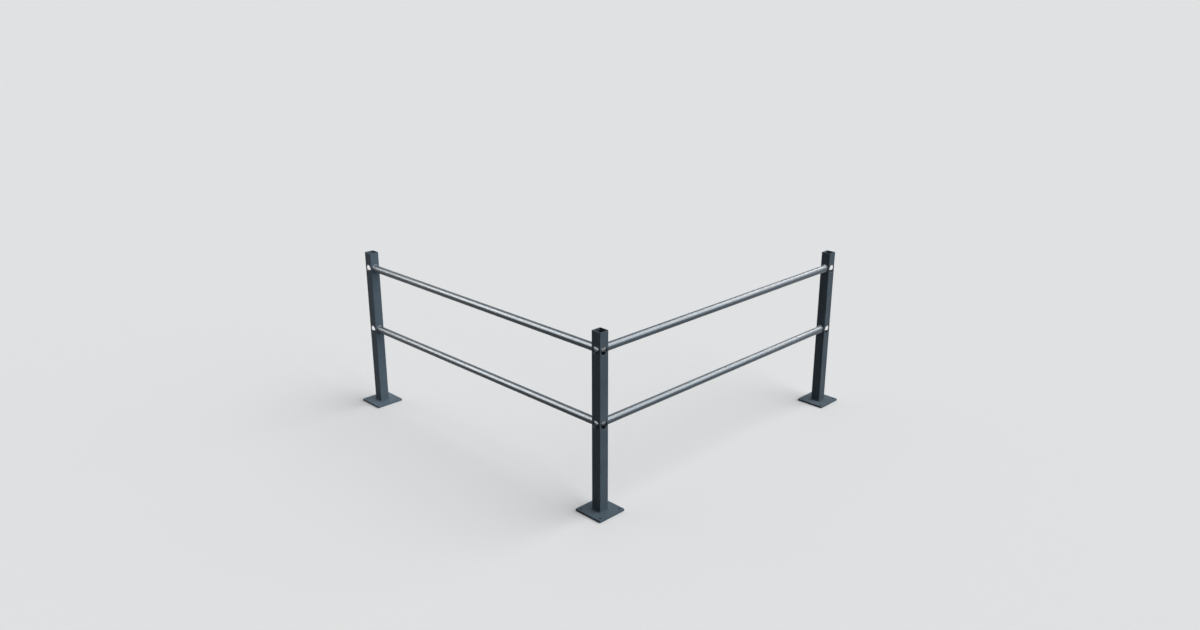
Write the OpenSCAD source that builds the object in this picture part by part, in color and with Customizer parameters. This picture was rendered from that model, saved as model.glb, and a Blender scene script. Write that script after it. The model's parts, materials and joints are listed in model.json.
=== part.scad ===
// Corner barrier of two bays: three square posts on base plates, joined by two round rails a bay.
// The origin is on the ground, at the middle of the square that the two bays span.

/* [Layout] */
// Post spacing of the left bay, centre to centre
left_bay = 2000; // [600:10:3000]
// Post spacing of the right bay, centre to centre
right_bay = 2000; // [600:10:3000]
// Height from the ground to the top of the posts
barrier_h = 1000; // [700:5:1400]
// Drop from the top of the posts to the centre of the top rails
top_rail_drop = 100; // [40:1:200]
// Vertical distance between the centres of the top and lower rails
rail_pitch = 400; // [100:5:450]

/* [Posts] */
// Outside width of the square post tube
post_w = 60; // [56:1:100]
// Wall thickness of the post tube
post_wall = 3; // [2:0.5:5]
// Outside corner radius of the post tube
post_corner_r = 4; // [2:0.5:6]
// Radial clearance of the rail sockets that are cut in the post walls
socket_clearance = 0.8; // [0.3:0.1:1.5]

/* [Rails] */
// Outside diameter of the rail tube
rail_d = 42.4; // [30:0.1:45]
// Wall thickness of the rail tube
rail_wall = 2.6; // [1.5:0.1:5]
// Gap inside a post between the end of a rail and the side of a crossing rail
rail_end_gap = 0.8; // [0.3:0.1:2]

/* [Base plates] */
// Width of the square base plate
plate_w = 180; // [140:1:260]
// Thickness of the base plate
plate_t = 12; // [6:0.5:20]
// Corner radius of the base plate
plate_corner_r = 3; // [1:0.5:15]
// Distance from the edges of the plate to the centre of an anchor hole
anchor_inset = 20; // [15:0.5:30]
// Diameter of the anchor holes
anchor_hole_d = 12; // [8:0.5:18]

/* [Welds] */
// Leg of the fillet weld between a post and its base plate
foot_weld_leg = 5; // [3:0.5:8]
// Leg of the fillet weld between a rail and a post
rail_weld_leg = 4; // [2:0.5:5]

/* [Hidden] */
// Space that a weld bead leaves to the tube that it runs round
weld_seat = 0.1;
// Smallest inside corner radius of the post tube
least_inner_r = 0.5;
// Length by which a cutting solid runs past the solid that it cuts
cut_over = 1;
// Colour of the paint, the same on every piece
paint = "#3b444c";
// Facets of a drawn circle
$fn = 72;

post_inner_w = post_w - 2 * post_wall;
post_inner_r = max(post_corner_r - post_wall, least_inner_r);
socket_d = rail_d + 2 * socket_clearance;
// Distance from the centre of a post to the end of a rail
rail_end = rail_d / 2 + rail_end_gap;
anchor_pitch = plate_w - 2 * anchor_inset;

top_z = barrier_h - top_rail_drop;
lower_z = top_z - rail_pitch;

corner_at = [-right_bay / 2, -left_bay / 2, 0];
left_at = [-right_bay / 2, left_bay / 2, 0];
right_at = [right_bay / 2, -left_bay / 2, 0];
// Turn about Z that points +X along a bay
along_left = 90;
along_right = 0;

// Square with round corners, centred
module rounded_square(w, r) {
    square([w - 2 * r, w], center = true);
    square([w, w - 2 * r], center = true);
    for (x = [-1, 1], y = [-1, 1])
        translate([x, y] * (w / 2 - r))
            circle(r);
}

// Open square tube on the plate, with a socket in each of its four walls at both rail heights
module post() {
    color(paint)
    difference() {
        translate([0, 0, plate_t])
        linear_extrude(barrier_h - plate_t)
        difference() {
            rounded_square(post_w, post_corner_r);
            rounded_square(post_inner_w, post_inner_r);
        }
        for (z = [top_z, lower_z], turn = [0, 90])
            translate([0, 0, z])
            rotate([0, 90, turn])
                cylinder(d = socket_d, h = post_w + 2 * cut_over, center = true);
    }
}

// Flat square plate with an anchor hole near each corner
module base_plate() {
    color(paint)
    difference() {
        linear_extrude(plate_t)
            rounded_square(plate_w, plate_corner_r);
        for (x = [-1, 1], y = [-1, 1])
            translate([x * anchor_pitch / 2, y * anchor_pitch / 2, -cut_over])
                cylinder(d = anchor_hole_d, h = plate_t + 2 * cut_over);
    }
}

// Cross-section of a fillet weld whose inner edge stands at the given distance from the axis
module fillet_section(from, leg) {
    polygon([[from, 0], [from + leg, 0], [from, leg]]);
}

// Fillet weld that runs round the foot of a post, straight on the four sides and round at the corners
module foot_weld() {
    side = post_w - 2 * post_corner_r;
    color(paint)
    translate([0, 0, plate_t])
    for (turn = [0, 90, 180, 270])
        rotate(turn) {
            translate([0, side / 2, 0])
            rotate([90, 0, 0])
            linear_extrude(side)
                fillet_section(post_w / 2 + weld_seat, foot_weld_leg);
            translate([side / 2, side / 2, 0])
            rotate_extrude(angle = 90)
                fillet_section(post_corner_r + weld_seat, foot_weld_leg);
        }
}

// Round tube, open at both ends, from the socket of one post to the socket of the next
module rail(bay, turn, z) {
    length = bay - 2 * rail_end;
    color(paint)
    translate([0, 0, z])
    rotate(turn)
    translate([rail_end, 0, 0])
    rotate([0, 90, 0])
    difference() {
        cylinder(d = rail_d, h = length);
        translate([0, 0, -cut_over])
            cylinder(d = rail_d - 2 * rail_wall, h = length + 2 * cut_over);
    }
}

// Fillet weld round a rail where it enters the wall of a post that stands at the origin
module rail_weld(turn, z) {
    color(paint)
    translate([0, 0, z])
    rotate(turn)
    translate([post_w / 2, 0, 0])
    rotate([0, 90, 0])
    rotate_extrude()
        fillet_section(rail_d / 2 + weld_seat, rail_weld_leg);
}

translate(corner_at) post();  // corner_post
translate(left_at) post();  // left_post
translate(right_at) post();  // right_post

translate(corner_at) base_plate();  // corner_base_plate
translate(left_at) base_plate();  // left_base_plate
translate(right_at) base_plate();  // right_base_plate

translate(corner_at) foot_weld();  // corner_foot_weld
translate(left_at) foot_weld();  // left_foot_weld
translate(right_at) foot_weld();  // right_foot_weld

translate(corner_at) rail(left_bay, along_left, top_z);  // left_top_rail
translate(corner_at) rail(left_bay, along_left, lower_z);  // left_lower_rail
translate(corner_at) rail(right_bay, along_right, top_z);  // right_top_rail
translate(corner_at) rail(right_bay, along_right, lower_z);  // right_lower_rail

translate(corner_at) rail_weld(along_left, top_z);  // left_top_corner_weld
translate(left_at) rail_weld(along_left + 180, top_z);  // left_top_end_weld
translate(corner_at) rail_weld(along_left, lower_z);  // left_lower_corner_weld
translate(left_at) rail_weld(along_left + 180, lower_z);  // left_lower_end_weld
translate(corner_at) rail_weld(along_right, top_z);  // right_top_corner_weld
translate(right_at) rail_weld(along_right + 180, top_z);  // right_top_end_weld
translate(corner_at) rail_weld(along_right, lower_z);  // right_lower_corner_weld
translate(right_at) rail_weld(along_right + 180, lower_z);  // right_lower_end_weld
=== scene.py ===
import json
import math

import bmesh
import bpy
from mathutils import Matrix, Vector, noise


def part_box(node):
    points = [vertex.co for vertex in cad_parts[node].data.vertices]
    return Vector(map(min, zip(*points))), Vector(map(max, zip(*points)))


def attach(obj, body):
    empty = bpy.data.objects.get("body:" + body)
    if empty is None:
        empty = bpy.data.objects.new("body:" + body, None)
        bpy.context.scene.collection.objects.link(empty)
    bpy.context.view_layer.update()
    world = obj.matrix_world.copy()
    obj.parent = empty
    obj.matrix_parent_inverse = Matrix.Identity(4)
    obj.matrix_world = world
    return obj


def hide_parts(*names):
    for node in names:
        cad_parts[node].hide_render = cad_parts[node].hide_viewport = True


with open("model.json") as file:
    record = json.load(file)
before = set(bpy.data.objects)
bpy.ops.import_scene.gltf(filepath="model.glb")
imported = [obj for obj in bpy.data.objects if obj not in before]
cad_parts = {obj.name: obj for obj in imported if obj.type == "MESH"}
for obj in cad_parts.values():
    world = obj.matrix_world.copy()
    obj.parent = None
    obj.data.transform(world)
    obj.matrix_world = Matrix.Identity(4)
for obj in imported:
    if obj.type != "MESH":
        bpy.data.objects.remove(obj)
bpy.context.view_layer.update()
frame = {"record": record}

MM = 0.001

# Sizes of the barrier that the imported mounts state
MOUNTS = {m["name"]: m["dims"] for m in frame["record"]["mounts"]}
SOCKET_R = MOUNTS["corner_left_face_top_socket"]["r_mm"] * MM
POST_WALL = MOUNTS["corner_left_face_top_socket"]["length_mm"] * MM
ANCHOR_R = MOUNTS["corner_anchor_holes"]["hole_r_mm"] * MM
ANCHOR_PITCH = MOUNTS["corner_anchor_holes"]["spacing_x_mm"] * MM

# Sizes of the barrier that neither a box nor a mount shows
POST_CORNER_R = 4 * MM
PLATE_CORNER_R = 3 * MM
RAIL_WALL = 2.6 * MM

# Rounding of cut edges under the coat
CUT_EDGE = 0.5 * MM
PLATE_EDGE = 0.8 * MM
EDGE_SEGMENTS = 4
LIP_TURNS = [math.radians(a) for a in (30, 60, 90)]

# Steps of round forms, and the gap within which their seams and poles close
ROUND_STEPS = 96
POST_CORNER_STEPS = 8
PLATE_CORNER_SEGMENTS = 6
SEAM_GAP = 0.01 * MM

# Weld beads: crown over the flat fillet, part of a leg that no ripple lifts, and the torch's ripples
BEAD_CROWN = 0.16
BEAD_ROOT = 0.02
BEAD_SECTION_STEPS = 10
RIPPLE_PITCH = 3.6 * MM
RIPPLE_HEIGHT = 0.28 * MM
RIPPLE_BOW = 0.9
RIPPLE_WANDER = 0.35
WANDER_LENGTH = 3 * RIPPLE_PITCH
STEPS_PER_RIPPLE = 6
RIPPLES_PER_CORNER = 2

# Camera, from the photograph's own edges: its frame is 1200 by 630 pixels
FRAME_PX = 1200
FOCAL_PX = 1024.7
SENSOR_MM = 36
CAMERA_BACK = 4.704
CAMERA_HEIGHT = 2.709
CAMERA_PITCH = math.radians(19.124)
VIEW_REACH = 1000

# Studio: half the floor's width, and the share of the backdrop's light that falls on matt surfaces
FLOOR_REACH = 200
AMBIENT = 0.25

# Colours, linear
BACKDROP = (0.745, 0.753, 0.761)
FLOOR_SHOWN = (0.558, 0.564, 0.569)
FLOOR_BOUNCED = (0.12, 0.12, 0.12)
COAT_DEEP = (0.0425, 0.0595, 0.075, 1)
COAT_PALE = (0.0515, 0.071, 0.089, 1)
COAT_GLEAM = (0.895, 0.957, 1.0, 1)

# Play of the coat: the span of its noises that counts, the change of gloss, and the depth of its peel
NOISE_LOW = 0.3
NOISE_HIGH = 0.7
GLOSSIER = 0.03
DULLER = 0.04
PEEL_DEPTH = 0.15 * MM

BAYS = {"left": Vector((0, 1, 0)), "right": Vector((1, 0, 0))}
LEVELS = ("top", "lower")
POSTS = ("corner", "left", "right")
UP = Vector((0, 0, 1))
AHEAD = Vector((1, 1, 0)).normalized()
RIGHT = Vector((1, -1, 0)).normalized()


def middle(node):
    """Centre of a node's box."""
    low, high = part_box(node)
    return (low + high) / 2


def spread(node):
    """Side lengths of a node's box."""
    low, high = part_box(node)
    return high - low


def sort_faces(bm):
    """Puts the faces in the order of their vertices, because spin and extrude leave them in any order."""
    bm.verts.index_update()
    count = len(bm.verts)

    def rank(face):
        first, second, third = sorted(vert.index for vert in face.verts)[:3]
        return (first * count + second) * count + third

    bm.faces.sort(key=rank)


def new_object(bm, name):
    """Puts a finished bmesh in an object at the origin."""
    sort_faces(bm)
    mesh = bpy.data.meshes.new(name)
    bm.to_mesh(mesh)
    bm.free()
    piece = bpy.data.objects.new(name, mesh)
    bpy.context.scene.collection.objects.link(piece)
    return piece


def dress(piece, node, coat):
    """Lets a piece stand for its CAD node, in its coat."""
    piece.data.materials.clear()
    piece.data.materials.append(coat)
    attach(piece, "root")
    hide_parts(node)
    return piece


def smooth(bm):
    """Shades every face smoothly."""
    for face in bm.faces:
        face.smooth = True


def drill(centre, axis, radius, walls, lip):
    """Round cutter along an axis that leaves a rounded lip where its hole enters and leaves each wall."""
    side = axis.orthogonal().normalized()
    # Way into the wall and way out from the bore along the lip, whose first step starts outside the wall
    curve = [(1 - math.cos(a), 1 - math.sin(a)) for a in LIP_TURNS]
    curve.insert(0, (-curve[0][0], 2 - curve[0][1]))
    profile = []
    for near, far in walls:
        profile += [(near + into * lip, radius + out * lip) for into, out in curve]
        profile += [(far - into * lip, radius + out * lip) for into, out in reversed(curve)]
    first, last = profile[0][0] - lip, profile[-1][0] + lip
    rim = profile[0][1]
    profile = [(first, 0), (first, rim)] + profile + [(last, rim), (last, 0)]
    bm = bmesh.new()
    verts = [bm.verts.new(axis * along + side * out) for along, out in profile]
    edges = [bm.edges.new(pair) for pair in zip(verts, verts[1:])]
    bmesh.ops.spin(
        bm, geom=verts + edges, cent=(0, 0, 0), axis=axis,
        angle=math.tau, steps=ROUND_STEPS, use_merge=True,
    )
    bmesh.ops.remove_doubles(bm, verts=bm.verts, dist=SEAM_GAP)
    bmesh.ops.recalc_face_normals(bm, faces=bm.faces)
    bmesh.ops.translate(bm, verts=bm.verts, vec=centre)
    smooth(bm)
    return bm


def cut_holes(piece, cutters):
    """Cuts a piece with each cutter and keeps its flats flat."""
    tools = [new_object(bm, "cutter") for bm in cutters]
    for tool in tools:
        cut = piece.modifiers.new("cut", "BOOLEAN")
        cut.operation = "DIFFERENCE"
        cut.solver = "MANIFOLD"
        cut.object = tool
    flats = piece.modifiers.new("flats", "WEIGHTED_NORMAL")
    flats.mode = "FACE_AREA"
    flats.weight = 100
    graph = bpy.context.evaluated_depsgraph_get()
    finished = bpy.data.meshes.new_from_object(piece.evaluated_get(graph))
    piece.modifiers.clear()
    piece.data = finished
    for tool in tools:
        bpy.data.objects.remove(tool)


def sweep_square(bm, ring, flat, side_steps, corner_steps):
    """Runs a closed section round a square with round corners, from the start of its +X side."""
    for side in range(4):
        heading = Matrix.Rotation(side * math.pi / 2, 3, "Z")
        for _ in range(side_steps):
            grown = bmesh.ops.extrude_edge_only(bm, edges=ring)["geom"]
            ring = [g for g in grown if isinstance(g, bmesh.types.BMEdge)]
            moved = [g for g in grown if isinstance(g, bmesh.types.BMVert)]
            vec = heading @ Vector((0, 2 * flat / side_steps, 0))
            bmesh.ops.translate(bm, verts=moved, vec=vec)
        verts = list(dict.fromkeys(v for e in ring for v in e.verts))
        turned = bmesh.ops.spin(
            bm, geom=ring + verts, cent=heading @ Vector((flat, flat, 0)), axis=UP,
            angle=math.pi / 2, steps=corner_steps,
        )["geom_last"]
        ring = [g for g in turned if isinstance(g, bmesh.types.BMEdge)]
    bmesh.ops.remove_doubles(bm, verts=bm.verts, dist=SEAM_GAP)
    bmesh.ops.recalc_face_normals(bm, faces=bm.faces)


def wall_section(bm, corners):
    """Closed section of a tube's wall, with its four corners rounded."""
    verts = [bm.verts.new(c) for c in corners]
    for i in range(4):
        bm.edges.new((verts[i], verts[(i + 1) % 4]))
    bmesh.ops.bevel(
        bm, geom=verts, offset=CUT_EDGE, offset_type="OFFSET", segments=EDGE_SEGMENTS,
        profile=0.5, affect="VERTICES", material=-1,
    )


def make_post(name, coat):
    """Square tube, open at the top, with a socket in each wall at both rail heights."""
    node = name + "_post"
    sides, centre = spread(node), middle(node)
    half = sides.x / 2
    flat = half - POST_CORNER_R
    bm = bmesh.new()
    wall_section(bm, [
        Vector((out, -flat, end * sides.z / 2))
        for out, end in ((half, -1), (half, 1), (half - POST_WALL, 1), (half - POST_WALL, -1))
    ])
    sweep_square(bm, bm.edges[:], flat, side_steps=1, corner_steps=POST_CORNER_STEPS)
    smooth(bm)
    bmesh.ops.translate(bm, verts=bm.verts, vec=centre)
    walls = [(-half, POST_WALL - half), (half - POST_WALL, half)]
    cutters = []
    for level in LEVELS:
        at = Vector((centre.x, centre.y, middle("right_" + level + "_rail").z))
        for axis in BAYS.values():
            cutters.append(drill(at, axis, SOCKET_R, walls, CUT_EDGE))
    piece = new_object(bm, node + "_coated")
    cut_holes(piece, cutters)
    return dress(piece, node, coat)


def make_base_plate(name, coat):
    """Flat plate with an anchor hole near each corner."""
    node = name + "_base_plate"
    sides, centre = spread(node), middle(node)
    bm = bmesh.new()
    bmesh.ops.create_cube(bm, size=1, matrix=Matrix.Diagonal((*sides, 1)))
    upright = [e for e in bm.edges if abs(e.verts[0].co.z - e.verts[1].co.z) > sides.z / 2]
    bmesh.ops.bevel(
        bm, geom=upright, offset=PLATE_CORNER_R, offset_type="OFFSET", segments=PLATE_CORNER_SEGMENTS,
        profile=0.5, affect="EDGES", material=-1,
    )
    level = [e for e in bm.edges if abs(e.verts[0].co.z - e.verts[1].co.z) < sides.z / 2]
    bmesh.ops.bevel(
        bm, geom=level, offset=PLATE_EDGE, offset_type="OFFSET", segments=EDGE_SEGMENTS,
        profile=0.5, affect="EDGES", material=-1,
    )
    smooth(bm)
    bmesh.ops.translate(bm, verts=bm.verts, vec=centre)
    cutters = []
    for x in (-1, 1):
        for y in (-1, 1):
            at = centre + Vector((x, y, 0)) * ANCHOR_PITCH / 2
            cutters.append(drill(at, UP, ANCHOR_R, [(-sides.z / 2, sides.z / 2)], PLATE_EDGE))
    piece = new_object(bm, node + "_coated")
    cut_holes(piece, cutters)
    return dress(piece, node, coat)


def make_rail(bay, level, coat):
    """Round tube with rounded lips at its open ends."""
    node = bay + "_" + level + "_rail"
    sides, centre = spread(node), middle(node)
    along = BAYS[bay]
    length, radius = sides.dot(along), sides.z / 2
    bm = bmesh.new()
    wall_section(bm, [
        along * end * length / 2 + UP * out
        for end, out in ((-1, radius), (1, radius), (1, radius - RAIL_WALL), (-1, radius - RAIL_WALL))
    ])
    bmesh.ops.spin(
        bm, geom=bm.verts[:] + bm.edges[:], cent=(0, 0, 0), axis=along,
        angle=math.tau, steps=ROUND_STEPS, use_merge=True,
    )
    bmesh.ops.recalc_face_normals(bm, faces=bm.faces)
    smooth(bm)
    bmesh.ops.translate(bm, verts=bm.verts, vec=centre)
    return dress(new_object(bm, node + "_coated"), node, coat)


def bead_section(bm, corner, out, rise, leg):
    """Closed cross-section of a bead: two legs from the corner, and a crowned face between their toes."""
    verts = [bm.verts.new(corner)]
    for step in range(BEAD_SECTION_STEPS + 1):
        share = step / BEAD_SECTION_STEPS
        swell = 1 + BEAD_CROWN * math.sin(math.pi * share)
        at = (out * (1 - share) + rise * share) * leg * swell
        verts.append(bm.verts.new(corner + at))
    count = len(verts)
    return [bm.edges.new((verts[i], verts[(i + 1) % count])) for i in range(count)]


def ripple(bm, leg, place):
    """Lifts the face of a bead in bowed ripples.

    place gives a vertex's way along the bead, its run and rise from the corner, and their directions.
    """
    for vert in bm.verts:
        along, run, rise, out, up = place(vert.co)
        if run < leg * BEAD_ROOT and rise < leg * BEAD_ROOT:
            continue
        share = math.atan2(rise, run) / (math.pi / 2)
        crest = math.sin(math.pi * min(max(share, 0), 1))
        wander = RIPPLE_WANDER * noise.noise(vert.co / WANDER_LENGTH)
        phase = along / RIPPLE_PITCH + RIPPLE_BOW * crest + wander
        wave = (phase % 1.0) ** 2
        lift = RIPPLE_HEIGHT * crest * (1 - 2 * wave)
        vert.co += (out * run + up * rise).normalized() * lift


def make_rail_weld(bay, level, end, coat):
    """Rippled bead round a rail where it enters a post."""
    node = "_".join((bay, level, end, "weld"))
    sides, centre = spread(node), middle(node)
    away = BAYS[bay] if end == "corner" else -BAYS[bay]
    leg = sides.dot(BAYS[bay])
    radius = sides.z / 2 - leg
    foot = centre - away * leg / 2
    ripples = round(math.tau * radius / RIPPLE_PITCH)
    bm = bmesh.new()
    edges = bead_section(bm, UP * radius, UP, away, leg)
    bmesh.ops.spin(
        bm, geom=bm.verts[:] + edges, cent=(0, 0, 0), axis=away,
        angle=math.tau, steps=ripples * STEPS_PER_RIPPLE, use_merge=True,
    )
    bmesh.ops.recalc_face_normals(bm, faces=bm.faces)
    across = away.cross(UP)

    def place(co):
        rise = co.dot(away)
        spoke = co - away * rise
        turn = math.atan2(co.dot(across), co.dot(UP)) % math.tau
        along = turn / math.tau * ripples * RIPPLE_PITCH
        return along, spoke.length - radius, rise, spoke.normalized(), away

    ripple(bm, leg, place)
    smooth(bm)
    bmesh.ops.translate(bm, verts=bm.verts, vec=foot)
    return dress(new_object(bm, node + "_coated"), node, coat)


def make_foot_weld(name, coat):
    """Rippled bead round the foot of a post."""
    node = name + "_foot_weld"
    sides, centre = spread(node), middle(node)
    leg = sides.z
    half = sides.x / 2 - leg
    flat = half - POST_CORNER_R
    foot = centre - UP * leg / 2
    side_steps = round(2 * flat / RIPPLE_PITCH) * STEPS_PER_RIPPLE
    corner_steps = RIPPLES_PER_CORNER * STEPS_PER_RIPPLE
    bm = bmesh.new()
    section = bead_section(bm, Vector((half, -flat, 0)), Vector((1, 0, 0)), UP, leg)
    sweep_square(bm, section, flat, side_steps, corner_steps)

    def place(co):
        past = Vector((max(abs(co.x) - flat, 0), max(abs(co.y) - flat, 0), 0))
        outward = Vector((math.copysign(past.x, co.x), math.copysign(past.y, co.y), 0)).normalized()
        run = past.length - POST_CORNER_R
        # Counted from well before the side starts, so that it is never negative
        along = (co.y if abs(outward.x) > abs(outward.y) else co.x) + 4 * flat
        return along, run, co.z, outward, UP

    ripple(bm, leg, place)
    smooth(bm)
    bmesh.ops.translate(bm, verts=bm.verts, vec=foot)
    return dress(new_object(bm, node + "_coated"), node, coat)


def node_of(tree, kind, **values):
    """Adds a shader node and sets its inputs by name."""
    made = tree.nodes.new(kind)
    for key, value in values.items():
        made.inputs[key.replace("_", " ")].default_value = value
    return made


def slate_coat(name, gloss, sheen, peel, tone=1.0):
    """Semi-gloss slate powder coat: a fine orange peel, and slow changes of tone and gloss."""
    coat = bpy.data.materials.new(name)
    coat.use_nodes = True
    tree = coat.node_tree
    shader = tree.nodes["Principled BSDF"]
    shader.inputs["Specular IOR Level"].default_value = sheen
    shader.inputs["Specular Tint"].default_value = COAT_GLEAM
    place = tree.nodes.new("ShaderNodeTexCoord").outputs["Object"]

    cloud = node_of(tree, "ShaderNodeTexNoise", Scale=9.0, Detail=3.0, Roughness=0.55)
    shades = tree.nodes.new("ShaderNodeValToRGB")
    ends = ((NOISE_LOW, COAT_DEEP), (NOISE_HIGH, COAT_PALE))
    for step, (where, colour) in zip(shades.color_ramp.elements, ends):
        step.position = where
        # tone scales both colours; a tone other than 1 paints light or shade into this copy of the coat
        step.color = [c * tone for c in colour[:3]] + [1]
    tree.links.new(place, cloud.inputs["Vector"])
    tree.links.new(cloud.outputs["Fac"], shades.inputs["Fac"])
    tree.links.new(shades.outputs["Color"], shader.inputs["Base Color"])

    haze = node_of(tree, "ShaderNodeTexNoise", Scale=35.0, Detail=4.0, Roughness=0.6)
    rough = node_of(
        tree, "ShaderNodeMapRange", From_Min=NOISE_LOW, From_Max=NOISE_HIGH,
        To_Min=gloss - GLOSSIER, To_Max=gloss + DULLER,
    )
    tree.links.new(place, haze.inputs["Vector"])
    tree.links.new(haze.outputs["Fac"], rough.inputs["Value"])
    tree.links.new(rough.outputs["Result"], shader.inputs["Roughness"])

    skin = node_of(tree, "ShaderNodeTexNoise", Scale=420.0, Detail=1.5, Roughness=0.5)
    bump = node_of(tree, "ShaderNodeBump", Strength=peel, Distance=PEEL_DEPTH)
    tree.links.new(place, skin.inputs["Vector"])
    tree.links.new(skin.outputs["Fac"], bump.inputs["Height"])
    tree.links.new(bump.outputs["Normal"], shader.inputs["Normal"])
    return coat


def make_camera():
    """Camera at the photograph's place, in front of the corner post."""
    at = middle("corner_post") - AHEAD * CAMERA_BACK
    at.z = CAMERA_HEIGHT
    looks = AHEAD * math.cos(CAMERA_PITCH) - UP * math.sin(CAMERA_PITCH)
    lens = bpy.data.cameras.new("camera")
    lens.sensor_fit = "HORIZONTAL"
    lens.sensor_width = SENSOR_MM
    lens.lens = SENSOR_MM * FOCAL_PX / FRAME_PX
    lens.clip_end = VIEW_REACH
    camera = bpy.data.objects.new("camera", lens)
    camera.location = at
    camera.rotation_euler = looks.to_track_quat("-Z", "Y").to_euler()
    bpy.context.scene.collection.objects.link(camera)
    bpy.context.scene.camera = camera


def make_sun(name, elevation, azimuth, watts, width):
    """Soft, distant lamp, placed in degrees: up from level, and clockwise from the camera's heading."""
    lamp = bpy.data.lights.new(name, "SUN")
    lamp.energy = watts
    lamp.angle = math.radians(width)
    level = AHEAD * math.cos(math.radians(azimuth)) + RIGHT * math.sin(math.radians(azimuth))
    towards = level * math.cos(math.radians(elevation)) + UP * math.sin(math.radians(elevation))
    sun = bpy.data.objects.new(name, lamp)
    sun.rotation_euler = towards.to_track_quat("Z", "Y").to_euler()
    bpy.context.scene.collection.objects.link(sun)
    return sun


def make_lamp(name, elevation, azimuth, watts, width, lit=None):
    """Lamp that shades the pieces and the floor, or only the lit pieces, and leaves no gleam."""
    lamp = make_sun(name, elevation, azimuth, watts, width)
    lamp.visible_glossy = False
    lamp.light_linking.receiver_collection = lit


def make_card(name, elevation, azimuth, watts, width, lit):
    """Bright card that shows only as a gleam on the pieces that it lights."""
    card = make_sun(name, elevation, azimuth, watts, width)
    card.visible_diffuse = False
    card.data.use_shadow = False
    card.light_linking.receiver_collection = lit


def make_world():
    """Even grey light, and the backdrop's own colour where it is seen or mirrored."""
    world = bpy.data.worlds.new("studio")
    bpy.context.scene.world = world
    world.use_nodes = True
    tree = world.node_tree
    sky = tree.nodes["Background"]
    sky.inputs["Color"].default_value = (*BACKDROP, 1)
    path = tree.nodes.new("ShaderNodeLightPath")
    seen = tree.nodes.new("ShaderNodeMath")
    seen.operation = "MAXIMUM"
    shown = tree.nodes.new("ShaderNodeMath")
    shown.operation = "MAXIMUM"
    level = node_of(tree, "ShaderNodeMapRange", To_Min=AMBIENT, To_Max=1.0)
    tree.links.new(path.outputs["Is Camera Ray"], seen.inputs[0])
    tree.links.new(path.outputs["Is Glossy Ray"], seen.inputs[1])
    tree.links.new(seen.outputs["Value"], shown.inputs[0])
    tree.links.new(path.outputs["Is Transmission Ray"], shown.inputs[1])
    tree.links.new(shown.outputs["Value"], level.inputs["Value"])
    tree.links.new(level.outputs["Result"], sky.inputs["Strength"])


def make_floor():
    """Wide pale floor that throws little light back on the barrier."""
    bm = bmesh.new()
    bmesh.ops.create_grid(bm, x_segments=1, y_segments=1, size=FLOOR_REACH)
    floor = new_object(bm, "floor")
    finish = bpy.data.materials.new("floor")
    finish.use_nodes = True
    tree = finish.node_tree
    tree.nodes.remove(tree.nodes["Principled BSDF"])
    matt = tree.nodes.new("ShaderNodeBsdfDiffuse")
    path = tree.nodes.new("ShaderNodeLightPath")
    tone = tree.nodes.new("ShaderNodeMix")
    tone.data_type = "RGBA"
    tone.inputs["A"].default_value = (*FLOOR_SHOWN, 1)
    tone.inputs["B"].default_value = (*FLOOR_BOUNCED, 1)
    tree.links.new(path.outputs["Is Diffuse Ray"], tone.inputs["Factor"])
    tree.links.new(tone.outputs["Result"], matt.inputs["Color"])
    tree.links.new(matt.outputs["BSDF"], tree.nodes["Material Output"].inputs["Surface"])
    floor.data.materials.append(finish)


make_camera()

post_coat = slate_coat("post_coat", gloss=0.34, sheen=0.06, peel=0.7)
# The plate coat is lightened 1.2 times: painted light, so the plate tops read as brightly lit
plate_coat = slate_coat("plate_coat", gloss=0.36, sheen=0.07, peel=0.7, tone=1.2)
# The rail and rail weld coats are darkened to 0.85: painted shade that deepens the rails' shaded
# undersides
rail_coat = slate_coat("rail_coat", gloss=0.36, sheen=0.27, peel=0.4, tone=0.85)
rail_weld_coat = slate_coat("rail_weld_coat", gloss=0.45, sheen=0.27, peel=0.2, tone=0.85)
# The foot weld coat is darkened to 0.85: painted shade in the crevice at each post's foot
foot_weld_coat = slate_coat("foot_weld_coat", gloss=0.45, sheen=0.06, peel=0.2, tone=0.85)

# Pieces that take the gleam of the cards, and the stand that the left lamp lights.
# The right post isn't mirrored in the rails, so their gleam runs unbroken up to it.
tubes = bpy.data.collections.new("tubes")
left_stand = bpy.data.collections.new("left_stand")
for post in POSTS:
    upright = make_post(post, post_coat)
    plate = make_base_plate(post, plate_coat)
    weld = make_foot_weld(post, foot_weld_coat)
    tubes.objects.link(upright)
    if post == "right":
        upright.visible_glossy = False
    if post == "left":
        for piece in (upright, plate, weld):
            left_stand.objects.link(piece)
for bay in BAYS:
    for level in LEVELS:
        tubes.objects.link(make_rail(bay, level, rail_coat))
        for end in ("corner", "end"):
            tubes.objects.link(make_rail_weld(bay, level, end, rail_weld_coat))

make_lamp("key", elevation=37, azimuth=97, watts=4.6, width=80)
make_lamp("fill", elevation=36, azimuth=-22, watts=1.4, width=100)
make_lamp("left_lamp", elevation=43, azimuth=147, watts=2.0, width=60, lit=left_stand)
make_card("left_card", elevation=38, azimuth=-88, watts=17.4, width=51, lit=tubes)
make_card("right_card", elevation=47, azimuth=98, watts=17.6, width=66, lit=tubes)
make_card("far_right_card", elevation=35, azimuth=41, watts=2.45, width=25, lit=tubes)
make_world()
make_floor()

bpy.context.scene.view_settings.view_transform = "Standard"
